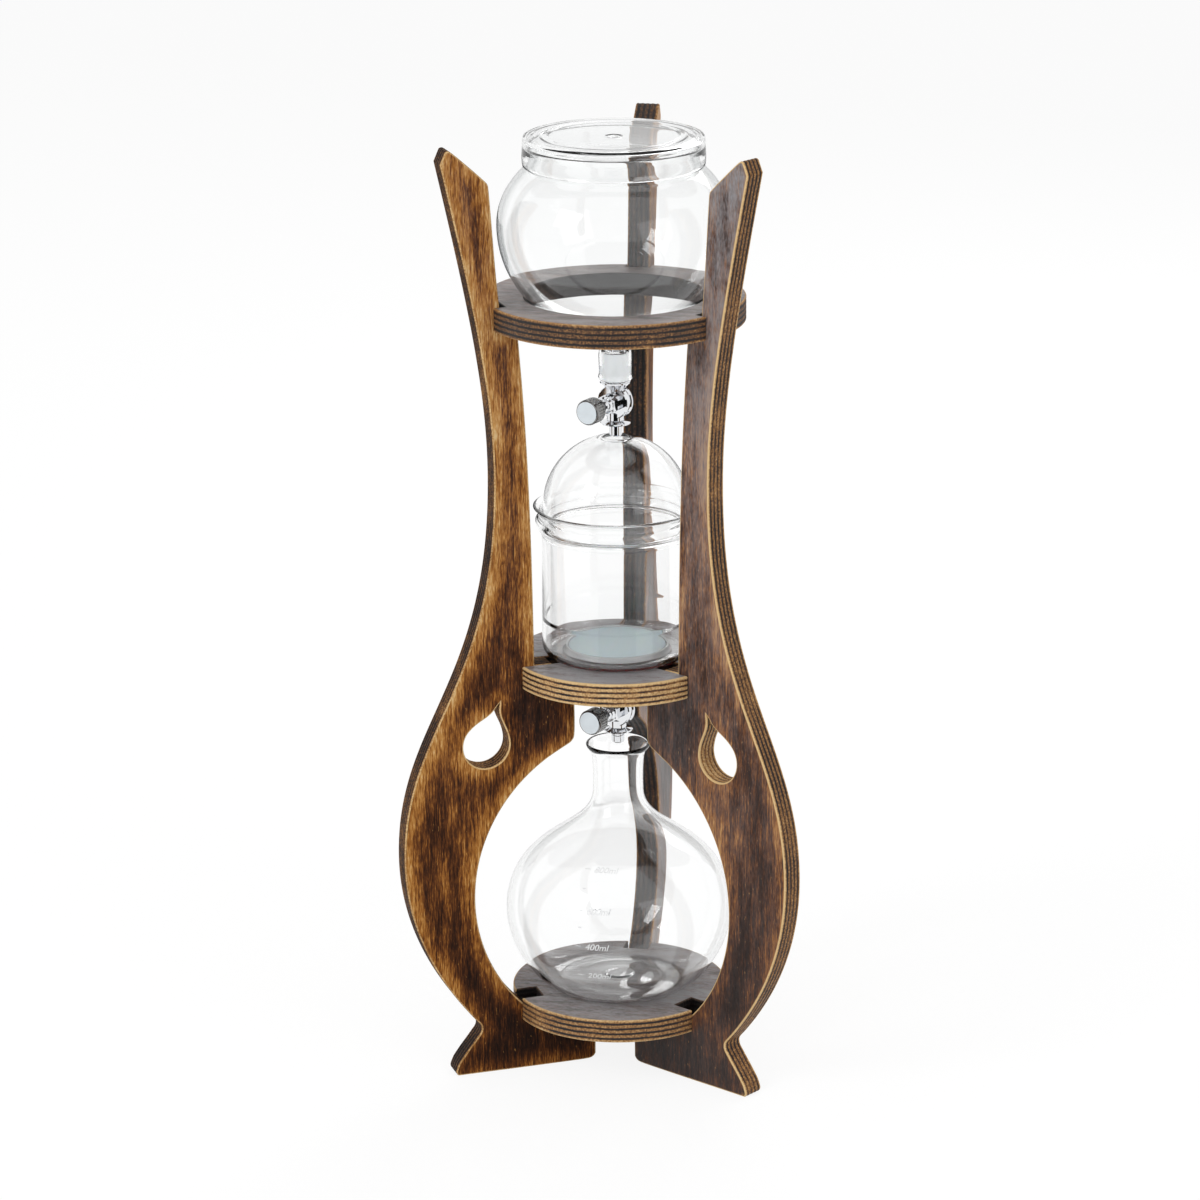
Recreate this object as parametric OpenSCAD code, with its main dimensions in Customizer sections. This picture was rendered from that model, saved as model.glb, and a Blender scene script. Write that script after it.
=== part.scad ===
// Cold drip coffee tower: three plywood legs carry three round shelves.
// A lidded water bowl drips through a needle valve into a domed coffee cylinder,
// and a second needle valve lets the coffee down into a round flask.
// The origin is on the tower's axis at the floor, with +Z up. The back leg stands on +Y.

/* [Plywood] */
// Thickness of the plywood
ply = 15; // [12:0.5:18]
// Radius of the top shelf
top_shelf_r = 81; // [79:0.5:86]
// Radius of the middle shelf
mid_shelf_r = 65.5; // [63:0.5:72]
// Radius of the bottom shelf
bottom_shelf_r = 68.5; // [64:0.5:74]
// Height of the bottom shelf's top face
bottom_shelf_z = 48; // [42:1:56]
// Radius of the hole in the top shelf that holds the bowl
bowl_hole_r = 56; // [52:0.5:60]
// Radius of the hole in the middle shelf for the cylinder's outlet
outlet_hole_r = 14; // [13:0.5:18]
// Free play beside a leg in a shelf's notch
notch_play = 0.2; // [0.1:0.05:0.4]
// Bevel on the rims of the shelves
shelf_bevel = 1; // [0.5:0.25:2]

/* [Legs] */
// Height of the leg's tip above the top shelf
tip_rise = 100.5; // [80:1:120]
// Height of the waist above the middle shelf
waist_rise = 123; // [100:1:150]
// Width of the leg at the waist
waist_w = 21.5; // [18:0.5:28]
// Height of the belly above the bottom shelf
belly_rise = 101; // [85:1:115]
// Width of the leg at the belly
belly_w = 45.8; // [38:0.2:54]
// Width of the leg at its pointed tip, outside the bowl's corner
tip_w = 30.3; // [24:0.1:38]
// Radius of the ankle above the foot
ankle_r = 95.8; // [90:0.2:104]
// Height of the ankle
ankle_z = 31; // [26:0.5:36]
// Radius of the foot's outer corner
foot_r = 113; // [106:0.5:122]
// Radius of the foot's inner end
foot_inner_r = 18.5; // [12:0.5:30]
// Radius of the lobe's inner end under the middle shelf
lobe_r = 31; // [27:0.5:36]
// Space around the flask inside the legs
flask_bay = 33.6; // [28:0.2:42]
// Width of the drop-shaped cut-out
drop_w = 30; // [20:1:36]
// Height of the drop-shaped cut-out
drop_h = 44; // [32:1:50]

/* [Water bowl] */
// Outer radius of the bowl
bowl_r = 72.3; // [68:0.1:78]
// Height of the bowl's shoulder above its widest line
bowl_shoulder_h = 55; // [48:1:62]
// Depth of the bowl below its widest line
bowl_depth = 70; // [64:1:76]
// Outer radius of the bowl's neck
bowl_neck_r = 53.2; // [48:0.2:56]
// Height of the bowl's neck
bowl_neck_h = 15; // [10:0.5:20]
// Length of the tube and socket under the bowl
bowl_outlet_h = 28; // [24:0.5:36]
// Thickness of the blown glass
glass = 2; // [1.6:0.1:2.6]

/* [Lid] */
// Height of the lid
lid_h = 18.9; // [15:0.1:24]
// Play between the lid and the neck
lid_play = 0.5; // [0.3:0.1:1]
// Radius of the lid's shoulder
lid_round = 4.5; // [3.5:0.1:6]
// How far the lid's disc sags in its middle
lid_sag = 0.8; // [0.4:0.1:1.5]

/* [Coffee cylinder and dome] */
// Outer radius of the cylinder
cyl_r = 47.2; // [43:0.1:50]
// Height of the cylinder from its foot to its rim
cyl_h = 97.5; // [90:0.5:110]
// Outer radius of the cylinder's flared rim
cyl_rim_r = 52; // [50.5:0.1:54]
// Length of the tube and socket under the cylinder
cyl_outlet_h = 23.4; // [23:0.2:32]
// Outer radius of the dome
dome_r = 46.2; // [42:0.1:46.6]
// Height of the dome's straight skirt
dome_skirt_h = 12; // [9:0.5:14]
// Radius of the drip hole in the dome
dome_hole_r = 7.8; // [6.5:0.1:9]
// Radius of the filter disc
filter_r = 31; // [26:0.5:36]
// Thickness of the filter disc
filter_t = 3; // [2:0.25:5]

/* [Flask] */
// Outer radius of the flask
flask_r = 72; // [66:0.5:76]
// Height of the flask
flask_h = 162.3; // [150:0.1:178]
// Height of the flask's widest line above its foot
flask_belly_h = 52; // [46:1:58]
// Outer radius of the flask's neck
flask_neck_r = 16; // [13.5:0.25:18]
// Outer radius of the flask's mouth
flask_mouth_r = 20.4; // [19.5:0.1:22.5]
// Radius of the flask's flat foot
flask_foot_r = 38; // [32:1:44]

/* [Valves] */
// Direction that the knobs point in, counted from +X towards +Y
knob_dir = 250; // [246:1:262]
// Radius of the valve's drum
drum_r = 10.7; // [10:0.1:12]
// Length of the valve's drum
drum_l = 8; // [7:0.5:10]
// Distance from the drum's centre to the knob's face
knob_reach = 34; // [32:0.5:38]
// Radius of the knob
knob_r = 8; // [6.5:0.25:9]
// Length of the knob
knob_l = 10; // [8:0.5:11]
// Number of grooves around the knob
knob_grooves = 28; // [20:1:32]
// Distance from the drum's centre to the nozzle's tip
nozzle_drop = 21.8; // [20:0.1:25]
// Outer radius of the nozzle
nozzle_r = 4.1; // [3.5:0.1:4.6]
// Radius of the drip collar above the nozzle
collar_r = 9.5; // [8:0.1:10.2]
// Radius of the spindle
spindle_r = 2; // [1.6:0.1:2.2]
// Outer radius of a glass socket
socket_r = 10.1; // [9.6:0.1:10.8]
// Play between the spindle and its gland
spindle_play = 0.05; // [0.03:0.01:0.1]

/* [Hidden] */
$fn = 96;
LEG_ANGLE = [90, 210, 330];
seat = 0.3;              // gap between a curved piece and its seat
eps = 0.02;              // overlap inside one piece
steps = 12;              // points along one curve

// Levels, from the floor up: each piece stands on the one below.
flask_z = bottom_shelf_z + seat;
lower_tip_z = flask_z + flask_h + 0.4;
lower_drum_z = lower_tip_z + nozzle_drop;
plug_flange = 1.3;       // thickness of the flange between a valve and its socket
socket_above_drum = 14.2; // from a drum's centre to the glass socket above it
cyl_z = lower_drum_z + socket_above_drum + cyl_outlet_h;
mid_shelf_z = cyl_z - seat;
cyl_floor_z = cyl_z + 1.4 * glass;
dome_ledge_z = cyl_z + cyl_h - 14.5;
dome_z = dome_ledge_z + seat;
dome_top_z = dome_z + dome_skirt_h + dome_r;
upper_drum_z = dome_top_z + nozzle_drop;
bowl_bottom_z = upper_drum_z + socket_above_drum + bowl_outlet_h;
bowl_z = bowl_bottom_z + bowl_depth;
function bowl_drop(r) = bowl_depth * sqrt(1 - pow(r / bowl_r, 2));
top_shelf_z = bowl_z - bowl_drop(bowl_hole_r) - seat;
tip_z = top_shelf_z + tip_rise;

// Radii of the legs, which follow the glass that stands between them.
bay_r = flask_r + flask_bay;                 // the round bay for the flask
bay_x = -7.6;                                // its centre, just past the axis
bay_z = bottom_shelf_z + 70.5;
belly_r = bay_x + bay_r + belly_w;
belly_z = bottom_shelf_z + belly_rise;
edge_low_r = cyl_rim_r + 5;                  // inner edge just above the middle shelf
edge_high_r = edge_low_r + 8;                // inner edge just below the top shelf
waist_z = mid_shelf_z + waist_rise;
waist_r = edge_low_r + 3 + waist_w;
bowl_edge_r = max(bowl_r + 4.2, bowl_hole_r + 16); // inner edge beside the bowl
corner_r = bowl_edge_r + 5.8;                // inner corner at the top
tip_r = corner_r + tip_w;
ledge_mid_r = lobe_r + 14;                   // end of the tongue in the middle shelf
notch_top_r = bowl_edge_r - 3.4;             // inner ends of the shelves' notches
notch_mid_r = lobe_r + 5.7;
notch_bottom_r = bay_x + sqrt(bay_r * bay_r - pow(bay_z - bottom_shelf_z + ply, 2)) - notch_play;

bowl_inner_neck_r = bowl_neck_r - glass;
lid_r = bowl_neck_r + lid_play + 2.2;
neck_top_z = bowl_z + bowl_shoulder_h * sqrt(1 - pow((bowl_neck_r + 3) / bowl_r, 2)) + bowl_neck_h;

// ---------------------------------------------------------------- curves

function lerp(a, b, t) = a + (b - a) * t;

// A cubic curve from p[0] to p[3], pulled towards p[1] and p[2]. The last point is left out.
function curve(p, n = steps) = [for (i = [0:n - 1]) let (t = i / n, s = 1 - t)
    s * s * s * p[0] + 3 * s * s * t * p[1] + 3 * s * t * t * p[2] + t * t * t * p[3]];

// An elliptical arc about c, from angle a to angle b. The last point is left out.
function arc(c, rx, ry, a, b, n = steps) = [for (i = [0:n - 1])
    let (t = lerp(a, b, i / n)) [c[0] + rx * cos(t), c[1] + ry * sin(t)]];

// A corner at p rounded between the directions of a and b.
function rounded(a, p, b, r, n = 4) =
    let (u = (a - p) / norm(a - p), v = (b - p) / norm(b - p))
    curve([p + u * r, p + u * r * 0.45, p + v * r * 0.45, p + v * r], n);

// The profile p moved by t to its left, point by point.
function beside(p, t) = [for (i = [0:len(p) - 1])
    let (a = p[max(i - 1, 0)], b = p[min(i + 1, len(p) - 1)], d = (b - a) / norm(b - a))
    p[i] + t * [-d[1], d[0]]];

function flip(p) = [for (i = [len(p) - 1:-1:0]) p[i]];
function lifted(p, z) = [for (q = p) [max(q[0], 0), q[1] + z]];

module turned(p) rotate_extrude() polygon(p);

// ---------------------------------------------------------------- plywood

// The leg's outline: radius from the axis, and height.
function leg_outline() =
    let (sole = [foot_r - 2, 0], heel = [foot_inner_r, 0], ledge_b = bottom_shelf_z - ply,
        bay_low = asin((ledge_b - bay_z) / bay_r), bay_high = acos((lobe_r - bay_x) / bay_r),
        bay_end = bay_z + bay_r * sin(bay_high), ledge_m = mid_shelf_z - ply,
        ledge_t = top_shelf_z - ply, corner = [corner_r, tip_z - 24],
        tip = [tip_r - 4, tip_z], shoulder = [tip_r, tip_z - 10])
    concat(
        rounded(sole, heel, [foot_inner_r, ledge_b], 5),
        [[foot_inner_r, ledge_b]],
        arc([bay_x, bay_z], bay_r, bay_r, bay_low, bay_high - 2.5, 30),
        rounded([lobe_r + 20, bay_end - 7], [lobe_r, bay_end], [lobe_r, ledge_m], 5),
        [[lobe_r, ledge_m], [ledge_mid_r, ledge_m]],
        rounded([ledge_mid_r, ledge_m], [ledge_mid_r, mid_shelf_z], [edge_low_r, mid_shelf_z], 2),
        [[edge_low_r, mid_shelf_z]],
        curve([[edge_low_r, mid_shelf_z + 1], [edge_low_r + 0.5, mid_shelf_z + 75],
            [edge_high_r - 6, ledge_t - 70], [edge_high_r, ledge_t - 5]], 14),
        rounded([edge_high_r, ledge_t - 9], [edge_high_r, ledge_t], [edge_high_r + 9, ledge_t], 4),
        [[bowl_edge_r, ledge_t]],
        curve([[bowl_edge_r, top_shelf_z], [bowl_edge_r + 3, top_shelf_z + 30],
            [corner_r - 2, corner[1] - 25], corner - [0, 2]], 8),
        rounded(corner - [0, 9], corner, tip, 2),
        rounded(corner, tip, shoulder, 4),
        curve([shoulder, [tip_r - 21.5, tip_z - 107], [waist_r, waist_z + 51], [waist_r, waist_z]], 18),
        curve([[waist_r, waist_z], [waist_r, waist_z - 138], [belly_r, belly_z + 89.5],
            [belly_r, belly_z]], 26),
        curve([[belly_r, belly_z], [belly_r, belly_z - 56], [ankle_r + 17.4, ankle_z + 22],
            [ankle_r, ankle_z + 2]], 16),
        curve([[ankle_r, ankle_z + 2], [ankle_r - 1.5, ankle_z - 0.5], [ankle_r - 0.8, ankle_z - 3],
            [ankle_r + 2, ankle_z - 6]], 4),
        curve([[ankle_r + 2, ankle_z - 6], [ankle_r + 8, ankle_z - 14], [foot_r - 5, 13],
            [foot_r, 4]], 6),
        rounded([foot_r - 1, 5], [foot_r, 1.5], sole, 2),
        [sole]);

// A generic drop, centred between the edges of the leg's shoulder.
module drop() {
    r = drop_w / 2;
    low = -drop_h / 2 + r;
    side = 20;
    polygon(concat(
        arc([0, low], r, r, 180 - side, 360 + side, 20),
        curve([[r * cos(side), low + r * sin(side)], [r * 0.62, low + r * 1.1],
            [1.6, drop_h / 2 - 12], [0.4, drop_h / 2]], 8),
        curve([[-0.4, drop_h / 2], [-1.6, drop_h / 2 - 12], [-r * 0.62, low + r * 1.1],
            [-r * cos(side), low + r * sin(side)]], 8)));
}

module leg(i) {
    drop_at = [bay_x + bay_r - 11, mid_shelf_z - ply - 28];
    color("#5b3a1e")
    rotate([90, 0, LEG_ANGLE[i]])
    translate([0, 0, -ply / 2])
    difference() {
        linear_extrude(ply) polygon(leg_outline());
        translate([drop_at[0], drop_at[1], -1])
        rotate(18)
        linear_extrude(ply + 2) drop();
    }
}

// A round shelf with its top face at z and a notch for each leg.
module shelf(z, r, notch_r, hole_r = 0) {
    b = shelf_bevel;
    color("#4a3020")
    difference() {
        translate([0, 0, z - ply])
        rotate_extrude()
        difference() {
            polygon([[0, 0], [r - b, 0], [r, b], [r, ply - b], [r - b, ply], [0, ply]]);
            if (hole_r > 0) translate([-1, -1]) square([hole_r + 1, ply + 2]);
        }
        for (a = LEG_ANGLE)
            rotate(a)
            translate([notch_r, -ply / 2 - notch_play, z - ply - 1])
            cube([r, ply + 2 * notch_play, ply + 2]);
    }
}

// ---------------------------------------------------------------- glass

// A socket under a vessel: its bead is at z = 0 and the vessel's outlet is at z = h.
socket_bead = 3.4;       // height of the bead round the socket's mouth
plug_top_r = 7.2;        // the taper plug, at its top and at its flange
plug_low_r = 8;
plug_h = 17;
sleeve = 0.6;            // thickness of the sleeve round the plug
joint_play = 0.05;       // play on each side of the sleeve
socket_wall = socket_r - plug_low_r - sleeve - 2 * joint_play;
outlet_r = 6.4;          // bore of the tube above the plug

function socket_inner(h) = [
    [plug_low_r + sleeve + 2 * joint_play, 0],
    [plug_top_r + sleeve + 2 * joint_play, plug_h + 0.6],
    [outlet_r, plug_h + 1.4],
    [outlet_r, h]];

function socket_outer(h) = concat(
    arc([socket_r - 0.6, socket_bead / 2], 1.2, socket_bead / 2, -70, 70, 6),
    [[socket_r, socket_bead + 0.4], [socket_r, plug_h + 1], [socket_r - 1.2, plug_h + 2.6],
        [socket_r - 1.6, h]]);

// The bowl's outer line, from its outlet tube up to the neck's rim.
function bowl_line() =
    let (low = 11.5, shoulder = acos((bowl_neck_r + 3) / bowl_r))
    concat(
        curve([[socket_r - 1.6, -bowl_depth - 3], [socket_r - 1.6, -bowl_depth - 0.4],
            [low, -bowl_drop(low) - 0.9], [low + 4, -bowl_drop(low + 4)]], 5),
        arc([0, 0], bowl_r, bowl_depth, -acos((low + 4) / bowl_r), 0, 22),
        arc([0, 0], bowl_r, bowl_shoulder_h, 0, shoulder, 10),
        curve([[bowl_neck_r + 3, bowl_shoulder_h * sin(shoulder)],
            [bowl_neck_r + 1, bowl_shoulder_h * sin(shoulder) + 1.4],
            [bowl_neck_r, bowl_shoulder_h * sin(shoulder) + 2.4],
            [bowl_neck_r, bowl_shoulder_h * sin(shoulder) + 4]], 4),
        [[bowl_neck_r, neck_top_z - bowl_z - 2]]);

module water_bowl() {
    outer = bowl_line();
    inner = beside(outer, glass);
    n = len(outer) - 1;
    color("#dfeaec", 0.35)
    translate([0, 0, bowl_z])
    turned(concat(
        lifted(socket_outer(bowl_outlet_h - 3), -bowl_depth - bowl_outlet_h),
        outer,
        arc([bowl_neck_r - glass / 2, outer[n][1]], glass / 2, 2, 0, 180, 6),
        flip([for (i = [3:n]) inner[i]]),
        lifted(flip(socket_inner(bowl_outlet_h - 1)), -bowl_depth - bowl_outlet_h)));
}

// The lid caps the neck. Its skirt stands on the bowl's shoulder, so its disc clears the rim.
module water_lid() {
    t = 2.2;
    low = neck_top_z - bowl_neck_h + 2;
    top = max(low + lid_h, neck_top_z + seat + lid_round);
    disc_r = lid_r - lid_round;
    outer = concat(
        curve([[lid_r, top - lid_round], [lid_r, top - lid_round * 0.45],
            [disc_r + lid_round * 0.55, top], [disc_r, top]], 8),
        curve([[disc_r, top], [disc_r - 14, top], [20, top - lid_sag], [0, top - lid_sag]], 10));
    color("#e4eef0", 0.35)
    turned(concat(
        [[lid_r - t, low + 0.8], [lid_r - t / 2, low], [lid_r, low + 0.8]],
        outer,
        [[0, top - lid_sag], [0, top - lid_sag - t]],
        flip(beside(outer, t))));
}

// The dome's outer line, from its drip hole down to its skirt.
module dome_cover() {
    c = dome_z + dome_skirt_h;
    hole = asin(dome_hole_r / dome_r);
    t = glass;
    r_in = dome_r - t;
    color("#dfeaec", 0.35)
    turned(concat(
        [[dome_r - t + 0.4, dome_z + 0.6], [dome_r - t / 2, dome_z], [dome_r - 0.4, dome_z + 0.6],
            [dome_r, dome_z + 1.6]],
        arc([0, c], dome_r, dome_r, 0, 90 - hole, 20),
        [[dome_hole_r, c + sqrt(pow(dome_r, 2) - pow(dome_hole_r, 2)) - 0.2],
            [dome_hole_r - 0.5, c + dome_r - 1.6],
            [dome_hole_r, c + sqrt(pow(r_in, 2) - pow(dome_hole_r, 2))]],
        flip(arc([0, c], r_in, r_in, 0, 90 - asin(dome_hole_r / r_in) - 1.5, 20))));
}

// The cylinder's mouth is a socket: the dome's skirt stands on its ledge, inside a bulge.
module coffee_cylinder() {
    t = glass;
    foot = 7;
    top = cyl_h;
    ledge = top - 14.5;
    bulge = max(cyl_r + 3.7, dome_r + seat + t + 2);
    waist = max(cyl_r + 1.3, dome_r + seat + t);
    rim = max(cyl_rim_r, waist + 3);
    outer = concat(
        [[cyl_r, foot], [cyl_r, ledge - 4]],
        curve([[cyl_r, ledge - 2.5], [cyl_r + 0.3, ledge - 1], [bulge, ledge - 0.5],
            [bulge, ledge + 3.6]], 6),
        curve([[bulge, ledge + 3.6], [bulge, ledge + 6.4], [waist, ledge + 5.8],
            [waist, ledge + 8.2]], 6),
        curve([[waist, ledge + 8.2], [waist, ledge + 10.6], [rim - 1.6, ledge + 11.6],
            [rim, top - 1]], 6),
        [[rim, top - 1]]);
    inner_neck = waist - t;
    inner = concat(
        curve([[rim - 1.4, top], [rim - 3, ledge + 12.6], [inner_neck, ledge + 10.8],
            [inner_neck, ledge + 8.2]], 6),
        curve([[inner_neck, ledge + 8.2], [inner_neck, ledge + 6.4], [bulge - t, ledge + 5.6],
            [bulge - t, ledge + 3.6]], 6),
        curve([[bulge - t, ledge + 3.6], [bulge - t, ledge], [dome_r + seat, ledge],
            [dome_r - 1, ledge]], 6),
        [[dome_r - 2.4, ledge]],
        curve([[cyl_r - t, ledge - 2.6], [cyl_r - t, ledge - 6], [cyl_r - t, ledge - 9],
            [cyl_r - t, ledge - 12]], 3));
    floor_h = cyl_floor_z - cyl_z;
    color("#dfeaec", 0.35)
    translate([0, 0, cyl_z])
    turned(concat(
        lifted(socket_outer(cyl_outlet_h - 3), -cyl_outlet_h),
        curve([[socket_r - 1.6, -3], [socket_r - 1.4, -1], [socket_r - 0.4, 0], [socket_r + 1.6, 0]], 4),
        [[socket_r + 1.6, 0]],
        arc([cyl_r - foot, foot], foot, foot, -90, 0, 8),
        outer,
        inner,
        [[cyl_r - t, foot + 1]],
        flip(arc([cyl_r - foot, foot + 0.4], foot - t, foot - floor_h + 0.4, -88, -2, 6)),
        [[outlet_r + 1, floor_h]],
        lifted(flip(socket_inner(cyl_outlet_h + floor_h - 1)), -cyl_outlet_h)));
}

module coffee_filter() {
    color("#cfd6d8")
    translate([0, 0, cyl_floor_z])
    turned([[0, 0], [filter_r - 0.5, 0], [filter_r, 0.5], [filter_r, filter_t - 0.5],
        [filter_r - 0.5, filter_t], [0, filter_t]]);
}

// A clear rubber ring grips the filter's edge and seals it on the floor.
module filter_ring() {
    in_r = filter_r + joint_play;
    color("#e8eeee", 0.5)
    translate([0, 0, cyl_floor_z])
    turned([[in_r, 0], [in_r + 3.4, 0], [in_r + 2, 1.6], [in_r + 1.4, filter_t + 0.4],
        [in_r + 0.9, filter_t + 0.8], [in_r, filter_t + 0.4]]);
}

punt_r = flask_foot_r - 12;                  // the hollow pushed up under the flask
punt_h = 3.2;

// The flask's outer line, from the middle of its bottom up to its mouth.
function flask_line() =
    let (b = flask_belly_h, r = flask_r, n = flask_neck_r, s = flask_h - 30.5)
    concat(
        curve([[0, punt_h], [punt_r * 0.5, punt_h], [punt_r * 0.7, 0.8], [punt_r, 0.8]], 8),
        [[flask_foot_r - 8, 0.8]],
        curve([[flask_foot_r, 0], [flask_foot_r + 12, 0], [r, b - 28], [r, b]], 14),
        curve([[r, b], [r, b + 50], [n, s - 30], [n, s]], 20),
        curve([[n, s], [n - 0.3, s + 10], [n, flask_h - 13], [n + 0.6, flask_h - 8.5]], 5),
        curve([[n + 0.6, flask_h - 8.5], [n + 1.4, flask_h - 4.4], [flask_mouth_r - 1, flask_h - 4],
            [flask_mouth_r, flask_h - 1.5]], 5),
        [[flask_mouth_r, flask_h - 1]]);

module flask() {
    outer = flask_line();
    inner = beside(outer, glass);
    n = len(outer) - 1;
    color("#dfeaec", 0.35)
    translate([0, 0, flask_z])
    turned(concat(
        outer,
        [[flask_mouth_r - 0.9, flask_h]],
        flip([for (i = [10:n - 1]) inner[i]]),
        [[flask_foot_r - 8, 0.8 + glass], [punt_r + 2, 1 + glass]],
        flip(curve([[0, punt_h + glass + 1], [punt_r * 0.4, punt_h + glass + 1],
            [punt_r * 0.6, 1 + glass], [punt_r + 2, 1 + glass]], 8))));
}

// ---------------------------------------------------------------- valves
// Each piece is drawn with the drum's centre at the origin and the knob on +X,
// then placed at a drum's height.

module placed(z) translate([0, 0, z]) rotate(knob_dir) children();
module along_x(x = 0) translate([x, 0, 0]) rotate([0, 90, 0]) children();

body_top = socket_above_drum - plug_flange;  // the body's upper face
body_low = -12;                              // the body's lower face
spigot_r = 3.2;                              // spigots that join the pieces
spigot_l = 5;
passage_r = 1.5;                             // water passage
boss_x = drum_l / 2 + 3;                     // end of the boss that carries the gland nut
gland_x = boss_x + 5;                        // end of the gland nut's hexagon
gland_end = gland_x + 5;
seal_r = 0.9;                                // thickness of the seal's ring, as a radius
seal_x = boss_x - 1.5;
chamber_r = spindle_r + 1.25;                // chamber in which the seal slides
knob_x = knob_reach - knob_l;
hub_r = 5;
hub_l = 3;
screw_r = 1.4;

module joint_sleeve(z) {
    color("#f4f4f0")
    placed(z + socket_above_drum)
    turned([[plug_low_r + joint_play, 0.4], [plug_low_r + sleeve + joint_play, 0.4],
        [plug_top_r + sleeve + joint_play, plug_h], [plug_top_r + joint_play, plug_h]]);
}

module joint_plug(z) {
    color("#c8ccd0")
    placed(z + body_top)
    turned([[passage_r + 0.6, -spigot_l], [spigot_r, -spigot_l], [spigot_r, 0], [9.2, 0],
        [9.5, plug_flange / 2], [9.2, plug_flange - 0.1], [plug_low_r, plug_flange + 0.2],
        [plug_top_r, plug_flange + plug_h], [plug_top_r - 1, plug_flange + plug_h],
        [5, plug_flange + plug_h - 6], [passage_r + 0.6, 2]]);
}

// The drum with its funnel above, neck below and boss towards the knob.
module valve_body(z) {
    h = drum_l / 2;
    flange = 2.4;
    groove = 0.8;
    fit = spigot_r + joint_play;
    color("#c8ccd0")
    placed(z)
    difference() {
        union() {
            along_x()
            turned([[0, -h - 1.6], [4.6, -h - 1.6], [5, -h - 1.2], [5, -h], [drum_r - 0.6, -h],
                [drum_r, -h + 0.6], [drum_r, -h + flange - 0.4], [drum_r - groove, -h + flange],
                [drum_r - groove, h - flange], [drum_r, h - flange + 0.4], [drum_r, h - 0.6],
                [drum_r - 0.6, h], [5.4, h], [5.4, boss_x], [0, boss_x]]);
            turned([[0, body_low], [5, body_low], [5.4, body_low + 0.4], [5.4, -7], [0, -7]]);
            turned(concat([[0, 4], [4.2, 4]],
                curve([[4.2, 4], [4.4, 7.5], [6.5, 9.5], [9.4, body_top - 1.2]], 6),
                [[9.6, body_top - 0.8], [9.4, body_top], [0, body_top]]));
        }
        translate([0, 0, body_low - 1]) cylinder(r = passage_r, h = body_top - body_low + 2);
        translate([0, 0, body_top - spigot_l - 0.3]) cylinder(r = fit, h = spigot_l + 1);
        translate([0, 0, body_low - 1]) cylinder(r = fit, h = 4.3);
        along_x(1.2) cylinder(r = spindle_r + spindle_play, h = boss_x);
        along_x(seal_x - 2.5) cylinder(r = chamber_r, h = boss_x);
    }
}

module nozzle(z) {
    tip = -nozzle_drop;
    bore = 2.2;
    color("#c8ccd0")
    placed(z)
    turned([[bore, tip], [nozzle_r - 0.5, tip], [nozzle_r, tip + 0.6], [nozzle_r, body_low - 2.6],
        [collar_r - 0.5, body_low - 2.2], [collar_r, body_low - 1.6], [collar_r - 0.3, body_low - 1],
        [6, body_low], [spigot_r, body_low], [spigot_r, body_low + 3], [bore - 0.7, body_low + 3],
        [bore - 0.7, body_low - 2], [bore, body_low - 3]]);
}

// Hexagonal gland nut and its tube, on the face of the boss.
module gland_nut(z) {
    hex_r = 6.8;
    tube_r = 4.4;
    color("#c8ccd0")
    placed(z)
    difference() {
        union() {
            along_x(boss_x) cylinder(r = hex_r, h = gland_x - boss_x, $fn = 6);
            along_x(gland_x - eps)
            turned([[0, 0], [tube_r + 1, 0], [tube_r, 1.2], [tube_r, gland_end - gland_x - 0.6],
                [tube_r - 0.6, gland_end - gland_x], [0, gland_end - gland_x]]);
        }
        along_x(boss_x - 1) cylinder(r = spindle_r + spindle_play, h = gland_end);
        along_x(boss_x - eps) cylinder(r = chamber_r, h = 2);
    }
}

module spindle_seal(z) {
    mid_r = spindle_r + 0.3;
    color("#2a2a2a")
    placed(z)
    along_x(seal_x)
    rotate_extrude()
    translate([mid_r, 0]) circle(r = seal_r - 0.05, $fn = 32);
}

module spindle(z) {
    groove_r = spindle_r - 0.65;
    end_x = knob_reach - 3;
    color("#b8bcc0")
    placed(z)
    along_x()
    turned([[0, 1.3], [0.5, 1.5], [spindle_r - 0.6, 4], [spindle_r, 4.6], [spindle_r, seal_x - 1],
        [groove_r, seal_x - 1], [groove_r, seal_x + 1], [spindle_r, seal_x + 1],
        [spindle_r, end_x - 0.4], [spindle_r - 0.4, end_x], [0, end_x]]);
}

module knob(z) {
    groove = 0.45;
    back = knob_x;
    color("#b8bcc0")
    placed(z)
    difference() {
        union() {
            along_x(back)
            turned([[0, 0], [knob_r - 0.8, 0], [knob_r, 0.8], [knob_r, knob_l - 1.2],
                [knob_r - 0.4, knob_l - 0.4], [knob_r - 1, knob_l], [0, knob_l]]);
            along_x(back - hub_l) cylinder(r = hub_r, h = hub_l + 1);
        }
        for (k = [0:knob_grooves - 1])
            rotate([360 / knob_grooves * k, 0, 0])
            translate([back + 1.6, 0, knob_r + 0.1])
            along_x() cylinder(r = groove, h = knob_l - 4, $fn = 16);
        along_x(back - hub_l - 1) cylinder(r = spindle_r + spindle_play, h = knob_l + hub_l - 1.9);
        translate([back - hub_l / 2, 0, 0]) cylinder(r = screw_r + joint_play, h = hub_r + 1);
    }
}

// The grub screw that holds the knob on its spindle.
module knob_screw(z) {
    low = spindle_r + joint_play;
    color("#6a6a6a")
    placed(z)
    translate([knob_x - hub_l / 2, 0, low])
    difference() {
        cylinder(r = screw_r, h = hub_r - low - 0.3);
        translate([0, 0, 1.2]) cylinder(r = 0.75, h = hub_r, $fn = 6);
    }
}

// ---------------------------------------------------------------- the tower

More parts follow.
